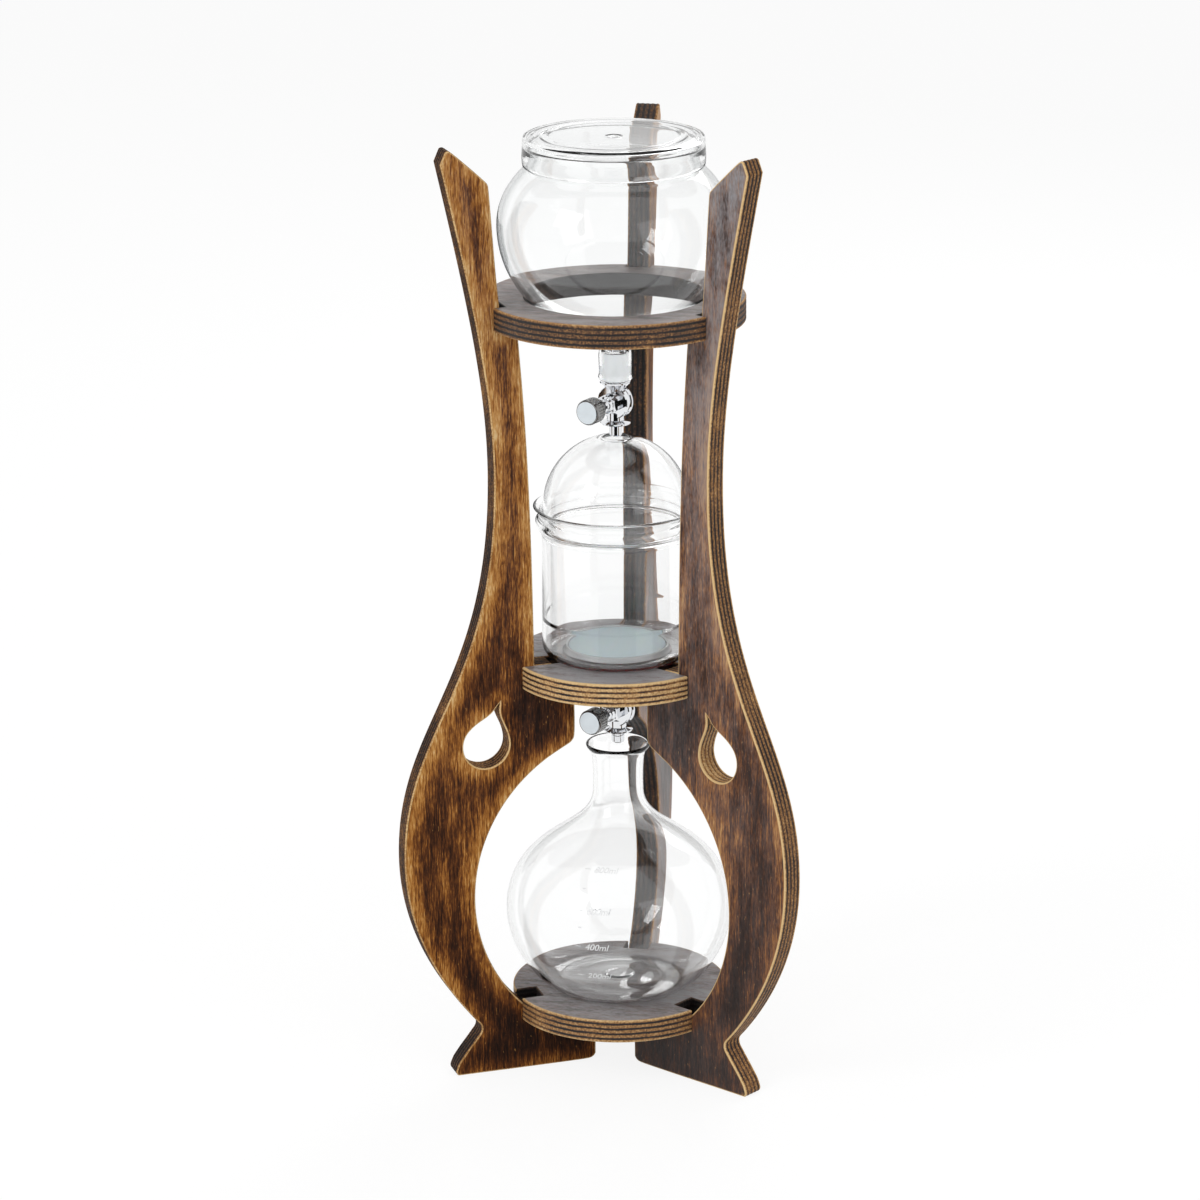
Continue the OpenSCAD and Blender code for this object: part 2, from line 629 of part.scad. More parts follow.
leg(0);  // leg_back
leg(1);  // leg_left
leg(2);  // leg_right
shelf(top_shelf_z, top_shelf_r, notch_top_r, bowl_hole_r);  // top_shelf
shelf(mid_shelf_z, mid_shelf_r, notch_mid_r, outlet_hole_r);  // middle_shelf
shelf(bottom_shelf_z, bottom_shelf_r, notch_bottom_r);  // bottom_shelf
water_lid();
water_bowl();
joint_sleeve(upper_drum_z);  // upper_joint_sleeve
joint_plug(upper_drum_z);  // upper_joint_plug
valve_body(upper_drum_z);  // upper_valve_body
nozzle(upper_drum_z);  // upper_nozzle
gland_nut(upper_drum_z);  // upper_gland_nut
spindle_seal(upper_drum_z);  // upper_spindle_seal
spindle(upper_drum_z);  // upper_spindle
knob(upper_drum_z);  // upper_knob
knob_screw(upper_drum_z);  // upper_knob_screw
dome_cover();
coffee_cylinder();
coffee_filter();
filter_ring();
joint_sleeve(lower_drum_z);  // lower_joint_sleeve
joint_plug(lower_drum_z);  // lower_joint_plug
valve_body(lower_drum_z);  // lower_valve_body
nozzle(lower_drum_z);  // lower_nozzle
gland_nut(lower_drum_z);  // lower_gland_nut
spindle_seal(lower_drum_z);  // lower_spindle_seal
spindle(lower_drum_z);  // lower_spindle
knob(lower_drum_z);  // lower_knob
knob_screw(lower_drum_z);  // lower_knob_screw
flask();
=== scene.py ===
"""Looks of the cold drip coffee tower: torched plywood, blown glass and polished steel.

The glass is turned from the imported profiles, smoothed, and the plywood is cut from the packed
outlines, with sanded edges, visible plies and a burnt grain.
"""

import math

import bmesh
import bpy
import numpy as np
from mathutils import Matrix, Vector, geometry


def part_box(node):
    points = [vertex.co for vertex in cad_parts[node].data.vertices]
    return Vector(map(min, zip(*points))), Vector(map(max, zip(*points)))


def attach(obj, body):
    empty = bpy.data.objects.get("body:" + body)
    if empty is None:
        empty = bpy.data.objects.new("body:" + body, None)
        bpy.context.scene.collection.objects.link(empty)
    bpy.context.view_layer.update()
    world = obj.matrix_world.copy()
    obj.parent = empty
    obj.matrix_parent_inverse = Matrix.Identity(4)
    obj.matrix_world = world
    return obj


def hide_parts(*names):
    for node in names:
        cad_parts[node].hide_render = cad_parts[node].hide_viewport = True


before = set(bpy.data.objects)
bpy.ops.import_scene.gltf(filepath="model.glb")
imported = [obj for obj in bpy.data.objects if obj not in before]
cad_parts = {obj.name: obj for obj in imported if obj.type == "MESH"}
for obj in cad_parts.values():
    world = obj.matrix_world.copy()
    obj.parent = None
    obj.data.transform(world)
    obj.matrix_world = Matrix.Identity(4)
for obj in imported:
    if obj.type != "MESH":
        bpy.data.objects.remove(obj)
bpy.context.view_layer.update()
MM = 0.001
MICRON = 1e-6
TINY = 1e-9                   # keeps a division by a length away from zero

# ------------------------------------------------------------------ camera, floor and light

CAMERA_DISTANCE = 2.7695      # from the tower's axis
CAMERA_HEIGHT = 1.1588
CAMERA_SIDE = math.radians(11.66)
CAMERA_YAW = math.radians(-0.22)
CAMERA_PITCH = math.radians(-17.14)
CAMERA_ROLL = math.radians(-0.47)
CAMERA_LENS = 138.4           # mm
CAMERA_SENSOR = 36            # mm
CAMERA_CLIP = 50              # sees no further than this

WORLD_LIGHT = 0.55            # how strongly the white world lights the object
FLOOR_REACH = 30              # from the tower to the floor's edge
FLOOR_COLOR = (0.86, 0.86, 0.86, 1)
FLOOR_GLOW = 1.06
FLOOR_SHARE = 0.82            # of the glow in what is seen; the rest keeps the tower's shadow

LAMP_AIM = (0, 0, 0.3)
LAMPS = (                     # name, place, size and power
    ("key", (-1.6, -1.9, 1.9), (1.2, 1.2), 26),
    ("fill", (1.9, -1.4, 1.1), (1.4, 1.4), 12),
    ("back", (0.4, 2.0, 1.6), (1.6, 1.0), 16))
FLAGS = (                     # name, two ends on the floor plan, lower and upper edge
    ("camera_flag", (-0.240, -0.816), (0.544, -0.654), 0.0, 0.55),
    ("left_flag", (-0.273, 0.858), (-0.752, 0.495), 0.19, 0.42),
    ("right_flag", (-0.089, 0.896), (0.495, 0.752), 0.19, 0.42))


def make_camera():
    """The camera of the photograph: it stands to the right of the front and looks down."""
    cos_pitch = math.cos(CAMERA_PITCH)
    forward = Vector((math.sin(CAMERA_YAW) * cos_pitch, math.cos(CAMERA_YAW) * cos_pitch,
                      math.sin(CAMERA_PITCH)))
    level = Vector((math.cos(CAMERA_YAW), -math.sin(CAMERA_YAW), 0))
    upright = level.cross(forward)
    right = level * math.cos(CAMERA_ROLL) + upright * math.sin(CAMERA_ROLL)
    up = upright * math.cos(CAMERA_ROLL) - level * math.sin(CAMERA_ROLL)
    turn = Matrix.Rotation(CAMERA_SIDE, 4, "Z")
    place = Matrix((right, up, -forward)).transposed().to_4x4()
    place.translation = (0, -CAMERA_DISTANCE, CAMERA_HEIGHT)
    camera = bpy.data.objects.new("camera", bpy.data.cameras.new("camera"))
    camera.data.lens = CAMERA_LENS
    camera.data.sensor_width = CAMERA_SENSOR
    camera.data.clip_end = CAMERA_CLIP
    camera.matrix_world = turn @ place
    bpy.context.scene.collection.objects.link(camera)
    bpy.context.scene.camera = camera


def backdrop_rays(nodes, links):
    """A factor that is 1 for rays that should see the white backdrop, and 0 for light."""
    path = nodes.new("ShaderNodeLightPath")
    total = None
    for ray in ("Is Camera Ray", "Is Glossy Ray", "Is Transmission Ray"):
        if total is None:
            total = path.outputs[ray]
            continue
        add = nodes.new("ShaderNodeMath")
        add.operation = "ADD"
        add.use_clamp = True
        links.new(total, add.inputs[0])
        links.new(path.outputs[ray], add.inputs[1])
        total = add.outputs[0]
    return total


def make_world():
    """White to the camera and in reflections, and a softer white as light."""
    world = bpy.data.worlds.new("studio")
    bpy.context.scene.world = world
    world.use_nodes = True
    nodes, links = world.node_tree.nodes, world.node_tree.links
    seen = backdrop_rays(nodes, links)
    strength = nodes.new("ShaderNodeMapRange")
    strength.inputs["To Min"].default_value = WORLD_LIGHT
    strength.inputs["To Max"].default_value = 1.0
    links.new(seen, strength.inputs["Value"])
    background = nodes["Background"]
    background.inputs["Color"].default_value = (1, 1, 1, 1)
    links.new(strength.outputs[0], background.inputs["Strength"])


def make_floor():
    """A pale floor that keeps the tower's soft shadow."""
    r = FLOOR_REACH
    mesh = bpy.data.meshes.new("floor")
    mesh.from_pydata([(-r, -r, 0), (r, -r, 0), (r, r, 0), (-r, r, 0)], [], [(0, 1, 2, 3)])
    floor = bpy.data.objects.new("floor", mesh)
    bpy.context.scene.collection.objects.link(floor)
    paint = bpy.data.materials.new("floor")
    paint.use_nodes = True
    nodes, links = paint.node_tree.nodes, paint.node_tree.links
    diffuse = nodes["Principled BSDF"]
    diffuse.inputs["Base Color"].default_value = FLOOR_COLOR
    diffuse.inputs["Roughness"].default_value = 0.9
    diffuse.inputs["Specular IOR Level"].default_value = 0.0
    glow = nodes.new("ShaderNodeEmission")
    glow.inputs["Color"].default_value = (1, 1, 1, 1)
    glow.inputs["Strength"].default_value = FLOOR_GLOW
    share = nodes.new("ShaderNodeMath")
    share.operation = "MULTIPLY"
    share.inputs[1].default_value = FLOOR_SHARE
    links.new(backdrop_rays(nodes, links), share.inputs[0])
    blend = nodes.new("ShaderNodeMixShader")
    links.new(share.outputs[0], blend.inputs["Fac"])
    links.new(diffuse.outputs[0], blend.inputs[1])
    links.new(glow.outputs[0], blend.inputs[2])
    links.new(blend.outputs[0], nodes["Material Output"].inputs["Surface"])
    mesh.materials.append(paint)


def make_lamp(name, place, size, power):
    """A soft lamp that lights the object, but doesn't show as a reflection."""
    lamp = bpy.data.lights.new(name, "AREA")
    lamp.shape = "RECTANGLE"
    lamp.size, lamp.size_y = size
    lamp.energy = power
    holder = bpy.data.objects.new(name, lamp)
    holder.location = place
    holder.rotation_euler = (Vector(LAMP_AIM) - Vector(place)).to_track_quat("-Z", "Y").to_euler()
    holder.visible_glossy = False
    bpy.context.scene.collection.objects.link(holder)


def make_flag(name, start, end, low, high):
    """A black panel, from start to end on the floor plan, that only shows as a reflection."""
    mesh = bpy.data.meshes.new(name)
    corners = [(*start, low), (*end, low), (*end, high), (*start, high)]
    mesh.from_pydata(corners, [], [(0, 1, 2, 3)])
    flag = bpy.data.objects.new(name, mesh)
    bpy.context.scene.collection.objects.link(flag)
    mesh.materials.append(Paint(name, Base_Color=(0.01, 0.01, 0.01), Roughness=1.0,
                                Specular_IOR_Level=0.0).material)
    flag.visible_camera = flag.visible_diffuse = flag.visible_transmission = False
    flag.visible_shadow = False


# ------------------------------------------------------------------ materials

CHAR = (0.016, 0.008, 0.006)
DARK_BROWN = (0.046, 0.017, 0.008)
BROWN = (0.135, 0.045, 0.013)
GOLDEN = (0.37, 0.145, 0.030)
GOLD = (0.60, 0.31, 0.09)
PALE = (0.76, 0.53, 0.26)
# painted sheen: the lacquer's greyish haze, which also stands in for reflected light
LACQUER_HAZE_AND_SHEEN = (0.30, 0.29, 0.30)     # of the lacquer
GLASS = (0.998, 1.0, 1.0)
# painted shade: the colour the glass is painted where its wall is seen end on
GLASS_EDGE_SHADE = (0.10, 0.12, 0.13)
GLASS_BODY = (0.62, 0.74, 0.72)  # of light that has crossed a thick wall
FACE_TONES = ((0.0, CHAR), (0.24, DARK_BROWN), (0.44, BROWN), (0.64, GOLDEN), (0.84, GOLD),
              (1.0, PALE))
EDGE_TONES = ((0.0, (0.014, 0.012, 0.012)), (0.22, (0.040, 0.026, 0.020)),
              (0.42, (0.115, 0.056, 0.028)), (0.66, (0.38, 0.19, 0.065)), (1.0, PALE))

TOWER = 600 * MM
JOINT = (45 * MM, 190 * MM, 0)   # where a leg meets the middle shelf, with the height times 0.8
KNOB_SIDE = math.radians(250)    # where the knobs point, round the tower
KNOB_AXIS = (math.cos(KNOB_SIDE), math.sin(KNOB_SIDE), 0)


class Paint:
    """A material's node tree, with short calls for the nodes that the finishes use.

    The first call's named values are sockets of the shader, with _ for each space. Wherever a
    method takes a value, it may also take another node's output.
    """

    def __init__(self, name, **sockets):
        self.material = bpy.data.materials.new(name)
        self.material.use_nodes = True
        self.nodes = self.material.node_tree.nodes
        self.links = self.material.node_tree.links
        self.shader = self.nodes["Principled BSDF"]
        for socket, value in sockets.items():
            self.set(socket.replace("_", " "), value)

    def set(self, socket, value):
        target = self.shader.inputs[socket]
        if isinstance(value, bpy.types.NodeSocket):
            self.links.new(value, target)
        elif isinstance(value, tuple):
            target.default_value = (*value, 1)
        else:
            target.default_value = value

    def node(self, kind, inputs=None, **settings):
        made = self.nodes.new(kind)
        for key, value in settings.items():
            setattr(made, key, value)
        for key, value in (inputs or {}).items():
            if isinstance(value, bpy.types.NodeSocket):
                self.links.new(value, made.inputs[key])
            else:
                made.inputs[key].default_value = value
        return made

    def attribute(self, name):
        return self.node("ShaderNodeAttribute", attribute_name=name).outputs["Vector"]

    def place(self):
        return self.node("ShaderNodeTexCoord").outputs["Object"]

    def split(self, vector):
        return self.node("ShaderNodeSeparateXYZ", {0: vector}).outputs

    def scaled(self, vector, scale):
        return self.node("ShaderNodeVectorMath", {0: vector, 1: scale},
                         operation="MULTIPLY").outputs[0]

    def noise(self, vector, scale, detail=3.0, roughness=0.55, distortion=0.0):
        return self.node("ShaderNodeTexNoise", {"Vector": vector, "Scale": scale, "Detail": detail,
                         "Roughness": roughness, "Distortion": distortion}).outputs["Fac"]

    def math(self, operation, a, b=0.0, offset=None):
        """A math node. MULTIPLY_ADD without an offset counts a from 0.5, a noise's middle."""
        if operation == "MULTIPLY_ADD" and offset is None:
            offset = -0.5 * b
        return self.node("ShaderNodeMath", {0: a, 1: b, 2: offset or 0.0},
                         operation=operation).outputs[0]

    def weighted(self, *parts):
        """The sum of (noise, weight), each noise counted from its middle value."""
        total = None
        for value, weight in parts:
            part = self.math("MULTIPLY_ADD", value, weight, offset=-0.5 * weight)
            total = part if total is None else self.math("ADD", total, part)
        return total

    def span(self, value, low, high, to_low=0.0, to_high=1.0, smooth=False):
        return self.node("ShaderNodeMapRange", {"Value": value, "From Min": low, "From Max": high,
                         "To Min": to_low, "To Max": to_high},
                         interpolation_type="SMOOTHSTEP" if smooth else "LINEAR").outputs[0]

    def ramp(self, value, *stops):
        made = self.node("ShaderNodeValToRGB", {"Fac": value})
        points = made.color_ramp.elements
        while len(points) < len(stops):
            points.new(1.0)
        for point, (at, color) in zip(points, stops):
            point.position = at
            point.color = (*color, 1)
        return made.outputs["Color"]

    def mix(self, amount, a, b):
        made = self.node("ShaderNodeMix", data_type="RGBA")
        first, second = made.inputs[6], made.inputs[7]    # its two colours
        for socket, value in ((made.inputs["Factor"], amount), (first, a), (second, b)):
            if isinstance(value, bpy.types.NodeSocket):
                self.links.new(value, socket)
            elif isinstance(value, tuple):
                socket.default_value = (*value, 1)
            else:
                socket.default_value = value
        return made.outputs[2]

    def bump(self, height, strength, distance):
        made = self.node("ShaderNodeBump", {"Height": height, "Strength": strength,
                         "Distance": distance})
        self.links.new(made.outputs[0], self.shader.inputs["Normal"])


def plywood(name, heat, gold, line, plies, edge_tone, haze_and_sheen, gloss, joint=0.0, relief=0.45):
    """Torched birch plywood. The grain runs along the second value of the attribute grain.

    heat gives how light the face is, from 0 to 1, at the floor, in steps of 150 mm, up to the tip.
    gold is how golden the face is near its edges, line how bright its worn corners are, plies how
    clearly the sheets show in the edge, and edge_tone how light the edge is. veil is how strongly
    the face is painted greyish, at the floor and at the tip, for the lacquer's haze and a painted
    sheen of reflected light; gloss is how it shines, joint how much darker the leg is round the
    middle shelf, and relief how rough the surface is.
    """
    paint = Paint(name)
    grain = paint.attribute("grain")
    across, edge, wall = paint.split(paint.attribute("ply"))
    height = paint.math("DIVIDE", paint.split(grain)[1], TOWER)
    # broad clouds, long streaks, short dark pores, and light flecks
    cloud = paint.noise(paint.scaled(grain, (1, 0.5, 1)), 30, 3, 0.6)
    band = paint.noise(paint.scaled(grain, (1, 0.16, 1)), 150, 3, 0.6)
    streak = paint.noise(paint.scaled(grain, (1, 0.045, 1)), 800, 4, 0.65, 0.2)
    pore = paint.noise(paint.scaled(grain, (1, 0.09, 1)), 1700, 3, 0.65)
    speck = paint.noise(paint.scaled(grain, (1, 0.30, 1)), 900, 2, 0.55)
    burnt = paint.ramp(height, *[(k / 4, (v, v, v)) for k, v in enumerate(heat)])
    worn = paint.math("MULTIPLY_ADD", band, 12 * MM)
    near = paint.span(paint.math("ADD", edge, worn), 2 * MM, 14 * MM, 1.0, 0.0, smooth=True)
    tone = paint.weighted((cloud, 0.8), (band, 0.7), (streak, 0.9), (pore, 1.1), (speck, 0.25))
    tone = paint.math("ADD", paint.math("ADD", tone, burnt), paint.math("MULTIPLY", near, gold))
    # a leg is darker round its joint with the middle shelf
    spot = paint.node("ShaderNodeVectorMath", {0: paint.scaled(grain, (1, 0.8, 0)), 1: JOINT},
                      operation="DISTANCE").outputs["Value"]
    spot = paint.span(paint.math("ADD", spot, worn), 16 * MM, 46 * MM, joint, 0.0, smooth=True)
    tone = paint.math("SUBTRACT", tone, spot)
    face = paint.ramp(tone, *FACE_TONES)
    fleck = paint.math("MULTIPLY", paint.span(speck, 0.70, 0.76), 0.5)
    face = paint.mix(fleck, face, GOLD)
    # the plies in the edge: light and dark sheets in turn, scorched in patches
    here = paint.place()
    wobble = paint.math("MULTIPLY_ADD", paint.noise(here, 70, 3, 0.6), 1.1 * MM)
    depth = paint.math("DIVIDE", paint.math("ADD", across, wobble), PLY / PLIES)
    layer = paint.span(paint.math("PINGPONG", depth, 1.0), 0.45, 0.85, 1.0, 0.0)
    end_grain = paint.noise(here, 900, 3, 0.7)
    patch = paint.noise(here, 30, 3, 0.65)
    lit = paint.weighted((end_grain, 1.3), (patch, 1.3))
    clearness = paint.span(patch, 0.38, 0.62, 1.9, 0.6)
    sheets = paint.math("MULTIPLY_ADD", layer, 0.6 * plies)
    lit = paint.math("ADD", lit, paint.math("MULTIPLY", sheets, clearness))
    corner = paint.span(paint.math("ABSOLUTE", across), PLY / 2 - 1.5 * MM, PLY / 2 - 0.2 * MM)
    lit = paint.math("ADD", lit, paint.math("MULTIPLY", corner, line))
    # a leg's cut-out is lighter than its rim, and a shelf's notches and hole are painted dark, a
    # painted shade for the gaps round the legs and the glass
    cut_out = paint.math("LESS_THAN", edge, 0.0)
    lit = paint.math("ADD", lit, paint.math("MULTIPLY", cut_out, 0.22))
    # painted shade: the walls of a shelf's notches and hole are painted dark, for the shade in the
    # gaps round the legs and the glass
    shaded_notch = paint.math("GREATER_THAN", edge, 0.5)
    lit = paint.math("SUBTRACT", lit, paint.math("MULTIPLY", shaded_notch, 0.6))
    lit = paint.math("ADD", lit, edge_tone)
    side = paint.ramp(lit, *EDGE_TONES)
    # the rounded corner belongs to the face as much as to the edge
    rim = paint.span(edge, 0.2 * MM, 1.6 * MM, line, 0.0, smooth=True)
    rim = paint.math("MULTIPLY", rim, paint.span(band, 0.34, 0.56))
    face = paint.mix(rim, face, GOLD)
    color = paint.mix(wall, face, side)
    # the lacquer's greyish haze and a painted sheen of reflected light, in patches, that grow up
    # the leg
    haze = paint.span(paint.math("MULTIPLY", height, height), 0.0, 1.0, *haze_and_sheen)
    haze = paint.math("MULTIPLY", haze, paint.math("SUBTRACT", 1.0, wall))
    patchy = paint.weighted((cloud, 0.4), (band, 0.35), (speck, 0.25))
    haze = paint.math("MULTIPLY", haze, paint.span(patchy, -0.09, 0.09, 0.2, 1.6))
    paint.set("Base Color", paint.mix(haze, color, LACQUER_HAZE_AND_SHEEN))
    rough = paint.span(streak, 0.3, 0.7, 0.26, 0.46)
    paint.set("Roughness", paint.math("ADD", rough, paint.math("MULTIPLY", wall, 0.2)))
    paint.set("Specular IOR Level", gloss)
    bumps = paint.weighted((streak, 0.6), (pore, 0.5), (speck, 0.5))
    rough_edge = paint.math("MULTIPLY", end_grain, paint.math("MULTIPLY", wall, 0.8))
    bumps = paint.math("ADD", bumps, rough_edge)
    paint.bump(bumps, relief, 0.5 * MM)
    return paint.material


def clear_glass(name, density, outline, ior=1.47):
    """Blown glass, a little wavy. density is how strongly a thick wall tints what is behind it,
    and outline how dark a painted shade makes the glass where its wall is seen end on, in place
    of the dark rims that refraction and reflection give there."""
    paint = Paint(name, Roughness=0.0, IOR=ior, Transmission_Weight=1.0)
    grazing = paint.node("ShaderNodeLayerWeight", {"Blend": 0.5}).outputs["Facing"]
    # painted shade: the glass is painted dark at grazing angles, for the dark rims of bent and
    # reflected light
    dark = paint.span(grazing, 0.64, 0.94, 0.0, outline, smooth=True)
    paint.set("Base Color", paint.mix(dark, GLASS, GLASS_EDGE_SHADE))
    waves = paint.noise(paint.place(), 22, 1, 0.4)
    paint.bump(waves, 0.02, 2 * MM)
    body = paint.node("ShaderNodeVolumeAbsorption", {"Density": density,
                      "Color": (*GLASS_BODY, 1)})
    paint.links.new(body.outputs[0], paint.nodes["Material Output"].inputs["Volume"])
    return paint.material


def sintered():
    """White sintered glass of the filter disc, porous, with a painted shadow on its side, the
    shade of the ring round it.
    """
    paint = Paint("sintered_glass", Roughness=0.75)
    pores = paint.noise(paint.place(), 2600, 4, 0.7)
    normal = paint.node("ShaderNodeTexCoord").outputs["Normal"]
    # painted shadow: the side of the disc, in the ring's shade, is painted near black and only the
    # top keeps the white
    top = paint.span(paint.split(normal)[2], 0.5, 0.9)
    white = paint.ramp(pores, (0.35, (0.60, 0.64, 0.65)), (0.6, (0.82, 0.86, 0.87)))
    paint.set("Base Color", paint.mix(top, (0.06, 0.05, 0.045), white))
    paint.set("Subsurface Weight", 0.3)
    paint.bump(pores, 0.4, 0.3 * MM)
    return paint.material


def silicone():
    """Milky clear silicone of the ring round the filter."""
    paint = Paint("clear_silicone", Base_Color=(0.93, 0.96, 0.97), IOR=1.41,
                  Transmission_Weight=0.45)
    haze = paint.noise(paint.place(), 120, 2)
    paint.set("Roughness", paint.span(haze, 0.3, 0.7, 0.10, 0.22))
    return paint.material


def fluoropolymer():
    """The white sleeve of a ground joint, with a painted glow that stands in for the light shining
    through it.
    """
    # painted glow: the emission makes the sleeve shine as if lit from behind, though it is no lamp
    paint = Paint("joint_sleeve", Base_Color=(0.95, 0.96, 0.96), Subsurface_Weight=0.2,
                  Emission_Color=(0.95, 0.98, 1.0), Emission_Strength=0.30)
    mottle = paint.noise(paint.place(), 600, 3)
    paint.set("Roughness", paint.span(mottle, 0.3, 0.7, 0.4, 0.6))
    paint.bump(mottle, 0.1, 0.2 * MM)
    return paint.material


def steel(name, color, low, high, scratch):
    """Polished steel with handling smudges, from roughness low to high, and turning marks."""
    paint = Paint(name, Base_Color=color, Metallic=1.0)
    here = paint.place()
    smudge = paint.noise(here, 160, 3, 0.6)
    marks = paint.noise(paint.scaled(here, (0.2, 0.2, 1)), 4000, 2, 0.6)
    paint.set("Roughness", paint.span(smudge, 0.3, 0.7, low, high))
    paint.bump(marks, scratch, 0.1 * MM)
    return paint.material


def knob_steel():
    """The knob: a pale brushed face, and grooved sides painted dark as shade."""
    paint = Paint("knob_steel", Metallic=1.0)
    here = paint.place()
    normal = paint.node("ShaderNodeTexCoord").outputs["Normal"]
    facing = paint.node("ShaderNodeVectorMath", {0: normal, 1: KNOB_AXIS},
                        operation="DOT_PRODUCT").outputs["Value"]
    flat = paint.span(facing, 0.90, 0.97)
    smudge = paint.noise(here, 160, 3, 0.6)
    smudge_and_side_shade = paint.span(smudge, 0.3, 0.7, 0.16, 0.30)
    # painted shade: the sides are painted far darker than the steel of the face, more or less with
    # the smudges
    side = paint.ramp(smudge_and_side_shade, (0.16, (0.16, 0.155, 0.15)), (0.30, (0.34, 0.34, 0.34)))
    paint.set("Base Color", paint.mix(flat, side, (0.74, 0.80, 0.84)))
    paint.set("Roughness", paint.math("ADD", smudge_and_side_shade, paint.math("MULTIPLY", flat, 0.12)))
    paint.bump(paint.noise(here, 1500, 3, 0.6), 0.05, 0.1 * MM)
    return paint.material


def rubber():
    """Black, slightly dusty rubber of the seals."""
    paint = Paint("seal_rubber", Base_Color=(0.03, 0.03, 0.032))
    dust = paint.noise(paint.place(), 900, 3)
    paint.set("Roughness", paint.span(dust, 0.3, 0.7, 0.45, 0.7))
    return paint.material


# ------------------------------------------------------------------ packed outlines

WALL = 2 * MM                 # of the blown glass
LID_SHOULDER = 4.5 * MM       # radius of the lid's rounded shoulder
SLOW = 2.4 * MM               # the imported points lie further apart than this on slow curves
SAME = 0.1 * MICRON           # points closer than this are one point
TURNED_CORNER = 70            # degrees: a turned piece's sharper corners stay sharp
SAWN_CORNER = 32              # and a plywood outline's
SIDES = 180                   # of a turned piece
FAIRING = 60                  # rounds that iron a slow stretch
SQUARENESS = 5                # of the lid's shoulder; 2 would leave it round
NEIGHBOURS = 12               # points this close along a profile are on one side of its wall
UNEVEN = 0.3                  # a wall that is off by more of its thickness is meant to be so


def welded(node):
    """The node's points, welded where they lie within a micron, and each face's corners."""
    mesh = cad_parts[node].data
    places, index = {}, []
    for v in mesh.vertices:
        key = tuple(round(c / MICRON) for c in v.co)
        index.append(places.setdefault(key, len(places)))
    points = np.array(list(places), float) * MICRON
    faces = [[index[i] for i in p.vertices] for p in mesh.polygons]
    return points, faces


def chained(edges):
    """Edges joined into paths of point numbers. A closed path repeats its first number."""
    ways = {}
    for a, b in edges:
        ways.setdefault(a, set()).add(b)
        ways.setdefault(b, set()).add(a)
    paths = []
    while any(ways.values()):
        ends = [p for p, w in ways.items() if len(w) == 1]
        start = ends[0] if ends else next(p for p, w in ways.items() if w)
        path = [start]
        while ways[path[-1]]:
            here, there = path[-1], next(iter(ways[path[-1]]))
            ways[here].discard(there)
            ways[there].discard(here)
            path.append(there)
        paths.append(path)
    return paths


def turned_profile(node):
    """A turned node's outline as (radius, height), read in the plane of +X and Z."""
    points, faces = welded(node)
    radius = points[:, 0]
    on = (np.abs(points[:, 1]) < 2 * MICRON) & (radius > -MICRON)
    edges = set()
    for face in faces:
        for a, b in zip(face, face[1:] + face[:1]):
            if on[a] and on[b]:
                edges.add((min(a, b), max(a, b)))
    paths = chained(edges)
    loose = [p for p in np.flatnonzero(on) if not any(p in path for path in paths)]
    paths += [[p] for p in loose]
    flat = [[(float(radius[p]), float(points[p, 2])) for p in path] for path in paths]
    joined = flat.pop(0)
    while flat:
        tail = joined[-1]
        best = min(range(len(flat)), key=lambda k: min(math.dist(tail, flat[k][0]),
                                                        math.dist(tail, flat[k][-1])))
        piece = flat.pop(best)
        if math.dist(tail, piece[0]) > math.dist(tail, piece[-1]):
            piece.reverse()
        joined += piece
    return joined


def without_middles(points):
    """The points without those that lie in the middle of a straight edge."""
    kept = []
    for k, point in enumerate(points):
        before, after = points[k - 1], points[(k + 1) % len(points)]
        along, across = after - before, point - before
        off = abs(along.x * across.y - along.y * across.x) / max(along.length, TINY)
        if off > 3 * MICRON or (along.normalized().dot(across) < 0):
            kept.append(point)
    return kept


def smoothed(path, corner, spacing):
    """A closed curve through the path's points. Corners sharper than corner degrees stay sharp.

    With it comes a list that tells which of its points lie on the long, slow stretches.
    """
    points = [Vector(p) for k, p in enumerate(path) if k == 0 or math.dist(p, path[k - 1]) > SAME]
    if (points[0] - points[-1]).length < SAME:
        points.pop()
    points = without_middles(points)
    count = len(points)
    sharp = []
    for k in range(count):
        before = points[k] - points[k - 1]
        after = points[(k + 1) % count] - points[k]
        sharp.append(before.angle(after) > math.radians(corner))
    out, slow = [], []
    for k in range(count):
        p1, p2 = points[k], points[(k + 1) % count]
        p0 = p1 * 2 - p2 if sharp[k] else points[k - 1]
        p3 = p2 * 2 - p1 if sharp[(k + 1) % count] else points[(k + 2) % count]
        pieces = max(1, math.ceil((p2 - p1).length / spacing))
        # centripetal knots keep the curve from swinging out between uneven points
        t1 = (p1 - p0).length ** 0.5
        t2 = t1 + (p2 - p1).length ** 0.5
        t3 = t2 + (p3 - p2).length ** 0.5
        for i in range(pieces):
            t = t1 + (t2 - t1) * i / pieces
            a1 = (p0 * (t1 - t) + p1 * t) / t1
            a2 = (p1 * (t2 - t) + p2 * (t - t1)) / (t2 - t1)
            a3 = (p2 * (t3 - t) + p3 * (t - t2)) / (t3 - t2)
            b1 = (a1 * (t2 - t) + a2 * t) / t2
            b2 = (a2 * (t3 - t) + a3 * (t - t1)) / (t3 - t1)
            out.append((b1 * (t2 - t) + b2 * (t - t1)) / (t2 - t1))
            near = (p2 - p1).length
            if i == 0:
                near = min(near, (p1 - points[k - 1]).length)
            slow.append(near > SLOW and not (i == 0 and sharp[k]))
    return out, slow


def faired(curve, slow):
    """Irons the slow stretches of a closed curve, so that no ripple shows in the glass."""
    p = np.array([tuple(q) for q in curve])
    moves = np.array(slow, float)[:, None]
    for _ in range(FAIRING):
        for pull in (0.5, -0.53):    # the second pull keeps the curve from shrinking
            middle = (np.roll(p, 1, axis=0) + np.roll(p, -1, axis=0)) / 2
            p = p + moves * pull * (middle - p)
    return p


